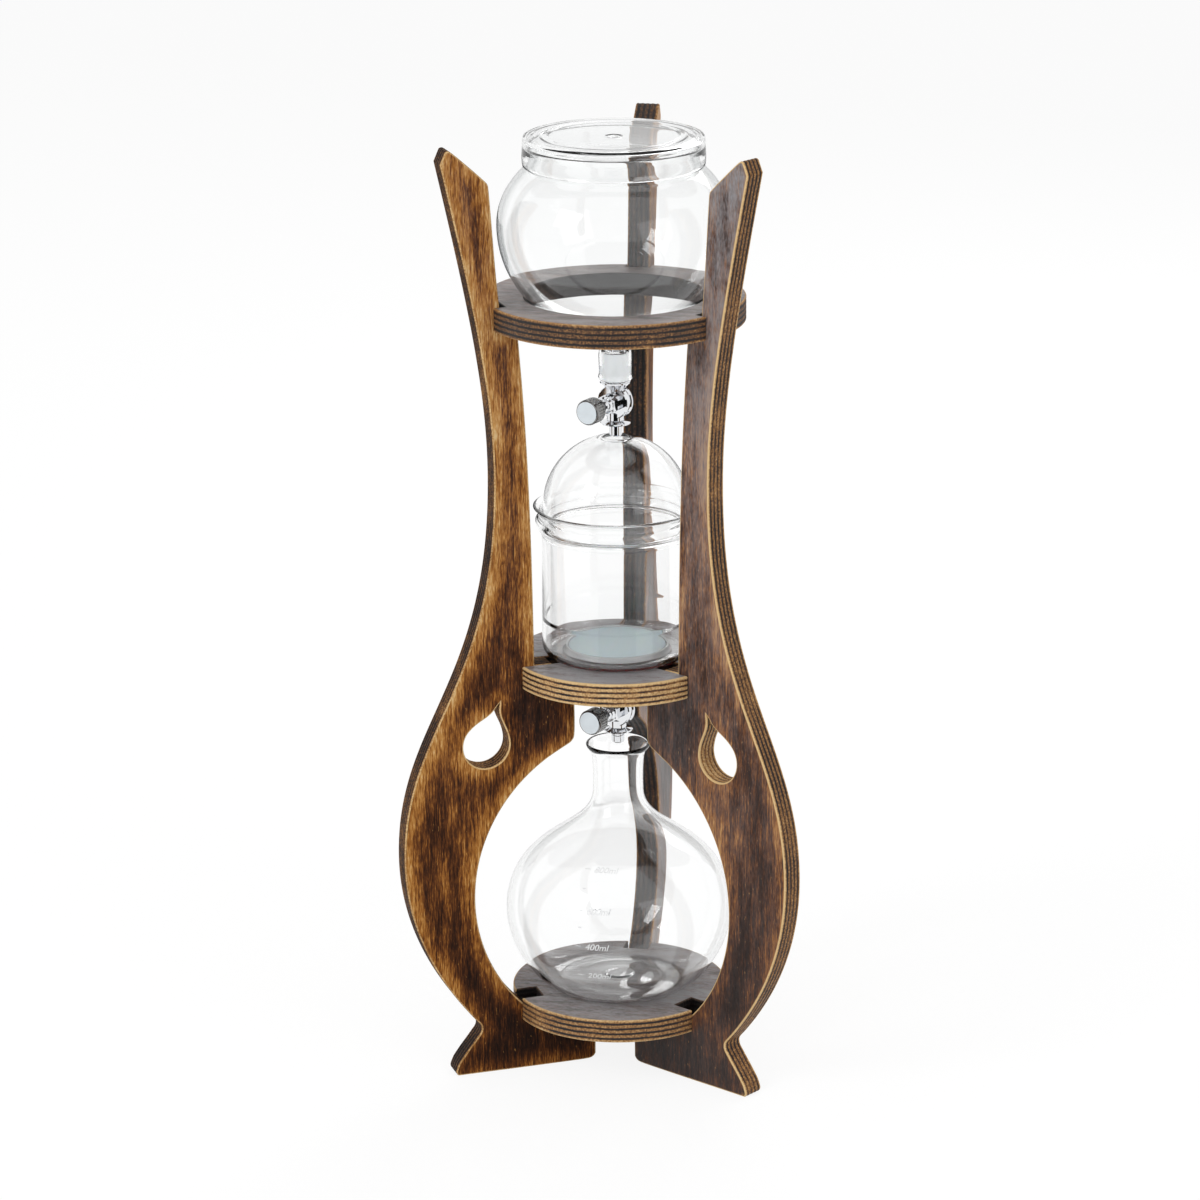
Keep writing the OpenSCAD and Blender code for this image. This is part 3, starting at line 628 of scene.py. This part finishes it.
def even_wall(p, slow, wall):
    """Moves the inner side of the slow stretches to one distance from the outer side."""
    slow = np.array(slow)
    centre = np.array([0.0, p[:, 1].mean()])
    index = np.arange(len(p))
    a, d = p, np.roll(p, -1, axis=0) - p
    square = np.maximum((d * d).sum(1), TINY ** 2)
    even = p.copy()
    for k in np.flatnonzero(slow):
        t = np.clip(((p[k] - a) * d).sum(1) / square, 0, 1)
        foot = a + t[:, None] * d
        gap = np.linalg.norm(foot - p[k], axis=1)
        gap[np.abs(index - k) < NEIGHBOURS] = np.inf
        best = int(gap.argmin())
        outward = (foot[best] - p[k]) @ (foot[best] - centre) > 0
        if outward and slow[best] and abs(gap[best] - wall) < UNEVEN * wall:
            even[k] = foot[best] + (p[k] - foot[best]) * wall / gap[best]
    return even


def add_piece(name, mesh, material, body, nodes):
    """Adds a piece that rides a body, in place of the nodes it replaces."""
    piece = bpy.data.objects.new(name, mesh)
    bpy.context.scene.collection.objects.link(piece)
    mesh.materials.append(material)
    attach(piece, body)
    if nodes:
        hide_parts(*nodes)
    return piece


def add_face(faces, corners):
    """Adds a face. A corner that comes twice counts once, and a face needs three."""
    face = [c for k, c in enumerate(corners) if c not in corners[:k]]
    if len(face) > 2:
        faces.append(face)


def turned_mesh(name, profile):
    """A closed surface of revolution about the tower's axis."""
    points, faces, rings = [], [], []
    for radius, height in profile:
        if radius < MICRON:
            rings.append([len(points)] * SIDES)
            points.append((0, 0, height))
            continue
        rings.append(list(range(len(points), len(points) + SIDES)))
        for k in range(SIDES):
            angle = 2 * math.pi * k / SIDES
            points.append((radius * math.cos(angle), radius * math.sin(angle), height))
    for low, high in zip(rings, rings[1:] + rings[:1]):
        for k in range(SIDES):
            add_face(faces, [low[k], low[(k + 1) % SIDES], high[(k + 1) % SIDES], high[k]])
    mesh = bpy.data.meshes.new(name)
    mesh.from_pydata(points, [], faces)
    mesh.shade_smooth()
    return mesh


def outward(mesh):
    """Turns the faces outwards, so that glass knows its inside."""
    work = bmesh.new()
    work.from_mesh(mesh)
    bmesh.ops.recalc_face_normals(work, faces=work.faces)
    work.to_mesh(mesh)
    work.free()


def squared(p, shoulder):
    """The profile with its top shoulder, of that radius, pushed out towards a square corner."""
    centre = p.max(0) - shoulder
    away = p - centre
    reach = np.linalg.norm(away, axis=1)
    unit = away / np.maximum(reach, TINY)[:, None]
    grow = (np.maximum(unit, 0) ** SQUARENESS).sum(1) ** (-1 / SQUARENESS)
    moved = (away > 0).all(1)
    return np.where(moved[:, None], centre + away * grow[:, None], p)


def make_turned(node, body, material, spacing=1.0 * MM, shoulder=0):
    """Replaces a turned node by its smooth form."""
    curve, slow = smoothed(turned_profile(node), TURNED_CORNER, spacing)
    curve = even_wall(faired(curve, slow), slow, WALL)
    if shoulder:
        curve = squared(curve, shoulder)
    mesh = turned_mesh(node + "_smooth", curve.tolist())
    outward(mesh)
    return add_piece(node + "_smooth", mesh, material, body, [node])


# ------------------------------------------------------------------ plywood pieces

PLY = 2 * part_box("leg_back")[1].x
PLIES = 9
SANDED = 1.0 * MM             # radius of the sanded edges
GROOVE = 0.14 * MM            # how far the burnt plies are sunk
GROOVE_SIDE = 0.12 * MM       # half the height of a groove's sloping side
# the walls of a shelf's notches and hole are marked for a painted shade
SANDED_HOLE = -1.0 * MM       # stands for the distance to the edge in a leg's cut-out,
NOTCH_SHADE = 1.0                # and in a shelf's notches and hole
GRID = 2.5 * MM               # between the points of a plywood face
OUTLINE = 2.0 * MM            # and along its edge
CLEAR = 0.6 * GRID            # the grid keeps this far from the sanded edge
BATCH = 400                   # points that are handled at once, to save memory
UNTANGLING = 6                # rounds that merge the points of an inset which cross
GRAIN_DEPTH = 0.05            # how fast the grain changes through the sheet
SMOOTH_BELOW = 50             # degrees: a plywood piece's sharper edges are shaded sharp


def flat_loops(node, height, axis):
    """The outlines of the node's flat face at that height along the axis, as paths of 2D points.

    The largest comes first.
    """
    points, faces = welded(node)
    others = [k for k in range(3) if k != axis]
    on = np.abs(points[:, axis] - height) < 2 * MICRON
    count = {}
    for face in faces:
        if all(on[p] for p in face):
            for a, b in zip(face, face[1:] + face[:1]):
                key = (min(a, b), max(a, b))
                count[key] = count.get(key, 0) + 1
    rim = [key for key, uses in count.items() if uses == 1]
    loops = [[tuple(points[p][others]) for p in path] for path in chained(rim)]
    return sorted(loops, key=lambda loop: -abs(area(loop)))


def area(loop):
    """The loop's area, which is negative if it runs clockwise."""
    x, y = np.array(loop).T
    return 0.5 * float(np.sum(x * np.roll(y, -1) - y * np.roll(x, -1)))


def inward(loop, distance):
    """The loop moved into the material by distance. Points that would cross are merged."""
    p = np.array(loop, float)
    before, after = p - np.roll(p, 1, axis=0), np.roll(p, -1, axis=0) - p
    before /= np.linalg.norm(before, axis=1)[:, None]
    after /= np.linalg.norm(after, axis=1)[:, None]
    middle = before + after
    middle /= np.linalg.norm(middle, axis=1)[:, None]
    normal = np.c_[-middle[:, 1], middle[:, 0]]
    mitre = np.clip((before * middle).sum(1), 0.5, 1)    # a sharp corner moves twice as far
    moved = p + normal * (distance / mitre)[:, None]
    for _ in range(UNTANGLING):
        step, old = np.roll(moved, -1, axis=0) - moved, np.roll(p, -1, axis=0) - p
        crossed = np.flatnonzero((step * old).sum(1) <= 0)
        for k in crossed:
            other = (k + 1) % len(p)
            moved[k] = moved[other] = (moved[k] + moved[other]) / 2
    return moved


def wall_section():
    """Points across the sheet as (inset, height): sanded edges and sunk plies between them."""
    top = PLY / 2
    rounds = [(SANDED * (1 - math.sin(a)), top - SANDED * (1 - math.cos(a)))
              for a in (math.radians(d) for d in range(0, 91, 18))]
    thick = PLY / PLIES
    ridges = []
    for k in range(1, PLIES):
        z = top - k * thick
        sunk = (k % 2 == 1, k % 2 == 0)
        for side, low in ((GROOVE_SIDE, sunk[1]), (-GROOVE_SIDE, sunk[0])):
            if abs(z + side) < top - SANDED:
                ridges.append((GROOVE if low else 0.0, z + side))
    return rounds + ridges + [(i, -z) for i, z in reversed(rounds)]


def distance_to(loops, points):
    """Each point's distance to the nearest stretch of the loops."""
    best = np.full(len(points), np.inf)
    for loop in loops:
        a = np.array(loop)
        d = np.roll(a, -1, axis=0) - a
        square = (d * d).sum(1)
        for start in range(0, len(points), BATCH):
            q = points[start:start + BATCH]
            t = np.clip(((q[:, None] - a) * d).sum(2) / square, 0, 1)
            gap = np.linalg.norm(q[:, None] - a - t[..., None] * d, axis=2).min(1)
            best[start:start + BATCH] = np.minimum(best[start:start + BATCH], gap)
    return best


def plate_mesh(name, loops, place, seed, shelf=False):
    """A sheet of plywood. loops are its outlines, the first one outside, and place turns a point
    (x, y, thickness) of the sheet into its place in the tower. seed picks the sheet's grain.

    The attribute grain holds a point's place in the sheet, for the wood's pattern. The attribute
    ply holds its height over the middle ply, its distance to the edge, and 1 on the cut wall.
    """
    loops = [l if (area(l) > 0) == (k == 0) else l[::-1] for k, l in enumerate(loops)]
    loops = [np.array(l, float) for l in loops]
    insets = [inward(l, SANDED) for l in loops]
    section = wall_section()
    low, high = loops[0].min(0), loops[0].max(0)
    reach = np.linalg.norm(loops[0], axis=1).max()
    gx, gy = np.meshgrid(np.arange(low[0], high[0], GRID), np.arange(low[1], high[1], GRID))
    gx[1::2] += GRID / 2
    inner = np.c_[gx.ravel(), gy.ravel()]
    inner = inner[inside(loops, inner)]
    inner = inner[distance_to(loops, inner) > SANDED + CLEAR]
    rim = np.concatenate(insets)
    starts = np.cumsum([0] + [len(l) for l in insets])
    edges = [(s + k, s + (k + 1) % n) for s, n in zip(starts, map(len, insets)) for k in range(n)]
    flat = [Vector(p) for p in np.concatenate([rim, inner])]
    verts, _, faces, origins, _, _ = geometry.delaunay_2d_cdt(flat, edges, [], 1, 10 * TINY)
    sheet = np.array([tuple(v) for v in verts])
    faces = [f for f, kept in zip(faces, inside(insets, sheet[faces].mean(1))) if kept]
    back = {o: k for k, group in enumerate(origins) for o in group}
    # the two faces, then the wall of each loop, ring by ring
    points, polygons, ply = [], [], []
    gaps = distance_to(loops, sheet)
    for height in (PLY / 2, -PLY / 2):
        start = len(points)
        points += [(x, y, height) for x, y in sheet]
        ply += [(height, gap, 0.0) for gap in gaps]
        for face in faces:
            corners = [start + k for k in face]
            polygons.append(corners if height > 0 else corners[::-1])
    below = len(sheet)
    for s, loop in zip(starts, loops):
        count = len(loop)
        rings = [[back[s + k] for k in range(count)]]
        for inset, height in section[1:-1]:
            rings.append(list(range(len(points), len(points) + count)))
            points += [(x, y, height) for x, y in inward(loop, inset)]
            for k in range(count):
                on_rim = loop is loops[0]
                if on_rim and not (shelf and math.hypot(*loop[k]) < reach - 1.0 * MM):
                    edge = inset
                else:
                    edge = NOTCH_SHADE if shelf else SANDED_HOLE
                ply.append((height, edge, 1.0))
        rings.append([below + back[s + k] for k in range(count)])
        for upper, lower in zip(rings, rings[1:]):
            for k in range(count):
                after = (k + 1) % count
                add_face(polygons, [upper[k], lower[k], lower[after], upper[after]])
    mesh = bpy.data.meshes.new(name)
    mesh.from_pydata([place(*p) for p in points], [], polygons)
    grain = np.array(points, float)
    if shelf:
        grain = grain[:, [1, 0, 2]]
    grain[:, 2] = grain[:, 2] * GRAIN_DEPTH + seed
    for title, values in (("grain", grain), ("ply", np.array(ply))):
        made = mesh.attributes.new(title, "FLOAT_VECTOR", "POINT")
        made.data.foreach_set("vector", values.astype(np.float32).ravel())
    outward(mesh)
    mesh.shade_smooth()
    mesh.set_sharp_from_angle(angle=math.radians(SMOOTH_BELOW))
    return mesh


def inside(loops, points):
    """Which points lie within the first loop and outside the others."""
    crossings = np.zeros(len(points), int)
    for loop in loops:
        a = np.array(loop)
        b = np.roll(a, -1, axis=0)
        for start in range(0, len(points), BATCH):
            q = points[start:start + BATCH]
            spans = (a[:, 1] > q[:, 1:2]) != (b[:, 1] > q[:, 1:2])
            rise = np.where(b[:, 1] == a[:, 1], 1.0, b[:, 1] - a[:, 1])
            x = a[:, 0] + (q[:, 1:2] - a[:, 1]) / rise * (b[:, 0] - a[:, 0])
            crossings[start:start + BATCH] += (spans & (q[:, 0:1] < x)).sum(1)
    return crossings % 2 == 1


def make_legs():
    """Three legs from the back leg's outline, each turned about the axis."""
    loops = flat_loops("leg_back", PLY / 2, 0)
    loops = [smoothed(l, SAWN_CORNER, OUTLINE)[0] for l in loops]
    left = plywood("left_leg_wood", heat=(0.09, 0.38, 0.35, 0.39, 0.45), gold=0.32, line=0.5,
                   plies=0.35, edge_tone=0.24, haze_and_sheen=(0.0, 0.09), gloss=0.04, joint=0.22)
    right = plywood("right_leg_wood", heat=(0.02, 0.34, 0.39, 0.31, 0.30), gold=0.14, line=0.65,
                    plies=0.7, edge_tone=0.28, haze_and_sheen=(0.05, 0.68), gloss=0.2, joint=0.22)
    back = plywood("back_leg_wood", heat=(0.1, 0.2, 0.3, 0.3, 0.4), gold=0.25, line=0.4,
                   plies=0.5, edge_tone=0.08, haze_and_sheen=(0.10, 0.06), gloss=0.35)
    looks = {"leg_left": (210, left, 0.0), "leg_right": (330, right, 3.7),
             "leg_back": (90, back, 7.4)}
    for node, (angle, wood, seed) in looks.items():
        out = Vector((math.cos(math.radians(angle)), math.sin(math.radians(angle)), 0))
        side = Vector((-out.y, out.x, 0))

        def place(radius, height, thickness, out=out, side=side):
            return out * radius - side * thickness + Vector((0, 0, height))

        mesh = plate_mesh(node + "_wood", loops, place, seed)
        add_piece(node + "_wood", mesh, wood, "stand", [node])


def make_shelves():
    """Three shelves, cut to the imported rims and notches."""
    looks = {"top_shelf": (0.7, 0.17, 0.50, 11.3), "middle_shelf": (1.0, 0.48, 0.80, 16.4),
             "bottom_shelf": (0.9, 0.29, 0.68, 21.5)}
    for node, (plies, edge_tone, haze_and_sheen, seed) in looks.items():
        wood = plywood(node + "_wood", heat=(0.32,) * 5, gold=0.05, line=0.3, plies=plies,
                       edge_tone=edge_tone, haze_and_sheen=(haze_and_sheen, haze_and_sheen), gloss=0.4, relief=0.7)
        low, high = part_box(node)
        loops = flat_loops(node, high.z, 2)
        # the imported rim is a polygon, whose corners are pushed out to the shelf's true radius
        reach = max(math.hypot(*p) for p in loops[0])
        rim = max(-low.x, high.x, -low.y, high.y)
        grown = [tuple(c * rim / reach for c in p) if math.hypot(*p) > reach - 10 * MICRON else p
                 for p in loops[0]]
        loops = [smoothed(l, SAWN_CORNER, OUTLINE)[0] for l in [grown] + loops[1:]]
        middle = (low.z + high.z) / 2

        def place(x, y, thickness, middle=middle):
            return Vector((x, y, middle + thickness))

        mesh = plate_mesh(node + "_wood", loops, place, seed, shelf=True)
        add_piece(node + "_wood", mesh, wood, "stand", [node])


# ------------------------------------------------------------------ glass and valves

MARKS = (("800ml", 142.4 * MM), ("", 132.8 * MM), ("600ml", 120.8 * MM), ("", 110.6 * MM),
         ("400ml", 98.4 * MM), ("", 89.0 * MM), ("200ml", 77.4 * MM))
MARK_SIDE = math.radians(-96)  # where the numbers start, round the flask
MARK_SIZE = 6.0 * MM
MARK_GAP = 2.2 * MM            # between a dash and its number
MARK_DASH = 4.0 * MM
MARK_SHORT = 0.6 * MARK_DASH   # a dash without a number
MARK_DROP = 0.35 * MARK_SIZE   # from the middle of a dash down to the foot of its number
MARK_SLANT = 0.3
MARK_LINE = 0.45 * MM          # how wide a dash is
MARK_THICK = 0.06 * MM
MARK_GLUE = 0.03 * MM          # how far its back stands off the glass
MARK_STEP = 1.5 * MM           # over which the flask's slope is measured


def make_glass():
    """The blown pieces, and the ring that lies round the filter."""
    thin = clear_glass("clear_glass", density=3.0, outline=0.12)
    thick = clear_glass("bowl_glass", density=10.0, outline=0.9)
    for node, body, glass in (("flask", "flask", thin), ("dome_cover", "dome", thin),
                              ("water_bowl", "water_bowl", thick),
                              ("coffee_cylinder", "coffee_cylinder", thin)):
        make_turned(node, body, glass)
    lid = clear_glass("lid_glass", density=4.0, outline=0.3, ior=1.3)
    make_turned("water_lid", "lid", lid, shoulder=LID_SHOULDER)
    make_turned("filter_ring", "coffee_cylinder", silicone(), spacing=0.5 * MM)


def enamel():
    """The white print on the flask."""
    paint = Paint("mark_enamel")
    speck = paint.noise(paint.place(), 3000, 2)
    white = paint.ramp(speck, (0.3, (0.84, 0.85, 0.86)), (0.6, (0.93, 0.94, 0.95)))
    paint.set("Base Color", white)
    paint.set("Roughness", paint.span(speck, 0.3, 0.7, 0.25, 0.4))
    return paint.material


def outer_radius(profile, height):
    """The radius of a profile's outer side at a height."""
    reach = 0.0
    for (r0, z0), (r1, z1) in zip(profile, profile[1:]):
        if min(z0, z1) <= height <= max(z0, z1) and z0 != z1:
            reach = max(reach, r0 + (r1 - r0) * (height - z0) / (z1 - z0))
    return reach


def print_points(text):
    """Slanted print as (across, up, proud) points and their faces. Its left edge is at 0."""
    curve = bpy.data.curves.new("print", "FONT")
    curve.body, curve.size, curve.shear = text, MARK_SIZE, MARK_SLANT
    curve.extrude = 0.5 * MARK_THICK
    holder = bpy.data.objects.new("print", curve)
    bpy.context.scene.collection.objects.link(holder)
    made = bpy.data.meshes.new_from_object(holder)
    points = [tuple(v.co) for v in made.vertices]
    faces = [list(p.vertices) for p in made.polygons]
    bpy.data.objects.remove(holder)
    bpy.data.meshes.remove(made)
    bpy.data.curves.remove(curve)
    return points, faces


def dash_points(length):
    """A dash as a flat bar whose right end is at 0."""
    x, y, z = length, 0.5 * MARK_LINE, 0.5 * MARK_THICK
    points = [(i * x, j * y, k * z) for i in (-1, 0) for j in (-1, 1) for k in (-1, 1)]
    faces = [[0, 1, 3, 2], [4, 6, 7, 5], [0, 4, 5, 1], [2, 3, 7, 6], [0, 2, 6, 4], [1, 5, 7, 3]]
    return points, faces


def make_marks():
    """The white volume marks: numbers with dashes, and short dashes between them."""
    profile = turned_profile("flask")
    points, faces = [], []
    for text, height in MARKS:
        parts = [(dash_points(MARK_DASH if text else MARK_SHORT), -MARK_GAP, 0.0)]
        if text:
            parts.append((print_points(text), 0.0, -MARK_DROP))
        radius = outer_radius(profile, height)
        # the glass leans here, so a mark's height is measured along the glass
        above, below = (outer_radius(profile, height + step) for step in (MARK_STEP, -MARK_STEP))
        stretch = math.hypot(1, (above - below) / (2 * MARK_STEP))
        for (form, polygons), shift, drop in parts:
            start = len(points)
            for across, up, proud in form:
                turn = MARK_SIDE + (across + shift) / radius
                rise = (up + drop) / stretch
                out = outer_radius(profile, height + rise) + proud + 0.5 * MARK_THICK + MARK_GLUE
                points.append((out * math.cos(turn), out * math.sin(turn), height + rise))
            faces += [[start + k for k in polygon] for polygon in polygons]
    mesh = bpy.data.meshes.new("flask_marks")
    mesh.from_pydata(points, [], faces)
    outward(mesh)
    add_piece("flask_marks", mesh, enamel(), "flask", [])


def dress_cad_nodes():
    """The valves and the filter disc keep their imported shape."""
    chrome = steel("chrome", (0.80, 0.81, 0.83), low=0.03, high=0.10, scratch=0.02)
    spindle = steel("spindle_steel", (0.70, 0.72, 0.75), low=0.16, high=0.28, scratch=0.10)
    looks = {"joint_sleeve": fluoropolymer(), "joint_plug": chrome, "valve_body": chrome,
             "nozzle": chrome, "gland_nut": chrome, "spindle_seal": rubber(),
             "spindle": spindle, "knob": knob_steel(),
             "knob_screw": steel("screw_steel", (0.2, 0.2, 0.21), low=0.3, high=0.45, scratch=0.1)}
    finishes = {f"{side}_{piece}": look for side in ("upper", "lower")
                for piece, look in looks.items()}
    finishes["coffee_filter"] = sintered()
    for node, look in finishes.items():
        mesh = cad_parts[node].data
        mesh.materials.clear()
        mesh.materials.append(look)


# ------------------------------------------------------------------ the scene

make_camera()
make_world()
make_floor()
for lamp in LAMPS:
    make_lamp(*lamp)
for flag in FLAGS:
    make_flag(*flag)
bpy.context.scene.view_settings.view_transform = "Standard"

make_legs()
make_shelves()
make_glass()
make_marks()
dress_cad_nodes()
